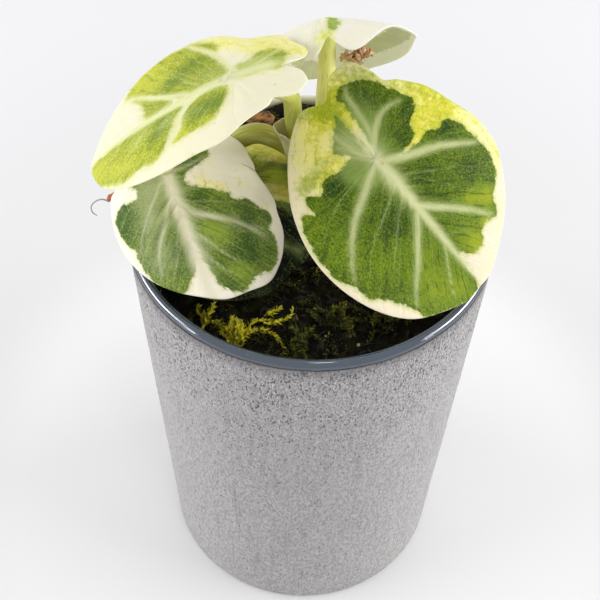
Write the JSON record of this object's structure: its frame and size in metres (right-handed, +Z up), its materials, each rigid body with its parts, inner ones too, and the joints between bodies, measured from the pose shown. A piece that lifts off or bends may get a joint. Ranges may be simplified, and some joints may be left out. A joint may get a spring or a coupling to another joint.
{
  "type": "potted plant",
  "caption": "Young alocasia with variegated heart-shaped leaves in a tapered grey cover pot with a rough coat and a glossy glazed lip",
  "frame": {"origin": "centre of the pot's flat underside, where it stands", "axes": "+Z up along the pot's axis to the highest leaf; -Y is the side the large right leaf and the low left leaf lean to; +X to the right seen from there"},
  "size_m": [0.1009, 0.0918, 0.1795],
  "materials": {
    "pot_ceramic": "rough grey coat outside, glossy blue-grey glaze on the lip and inside",
    "potting_mix": "dark crumbly potting mix",
    "crown_sheaths": "pale green overlapping leaf bases",
    "leaf_upper_left": "velvety, lime green panels with broad cream margins",
    "leaf_lower_left": "velvety, grey-green panels with white veins and margins",
    "leaf_right": "velvety, green panels between pale silvery veins, yellow and cream margins",
    "leaf_back": "velvety, mostly cream above, grey-green beneath",
    "leaf_low": "velvety, dark green with a yellow upper margin",
    "stalk_upper_left": "smooth pale green stalk",
    "stalk_lower_left": "smooth pale green stalk",
    "stalk_right": "smooth pale green stalk",
    "stalk_back": "smooth pale green stalk",
    "stalk_low": "smooth pale green stalk",
    "papery_sheath": "thin dry papery sheath",
    "browned_tip": "dried brown leaf edge",
    "dry_fibre": "dry thread",
    "bark": "reddish brown bark chip",
    "dry_remnant": "crumpled dry tan remnant",
    "moss": "yellow-green moss"
  },
  "bodies": {
    "root": {"cover_pot": "pot_ceramic", "potting_mix": "potting_mix", "crown": "crown_sheaths", "leaf_upper_left": "leaf_upper_left", "leaf_lower_left": "leaf_lower_left", "leaf_right": "leaf_right", "leaf_back": "leaf_back", "leaf_low": "leaf_low", "stalk_upper_left": "stalk_upper_left", "stalk_lower_left": "stalk_lower_left", "stalk_right": "stalk_right", "stalk_back": "stalk_back", "stalk_low": "stalk_low", "papery_sheath": "papery_sheath", "browned_tip": "browned_tip", "dry_fibre": "dry_fibre", "bark_chip": "bark", "dry_remnant": "dry_remnant", "moss_clump_1": "moss", "moss_clump_2": "moss", "moss_clump_3": "moss", "moss_clump_4": "moss", "moss_clump_5": "moss", "moss_clump_6": "moss"}
  },
  "joints": []
}
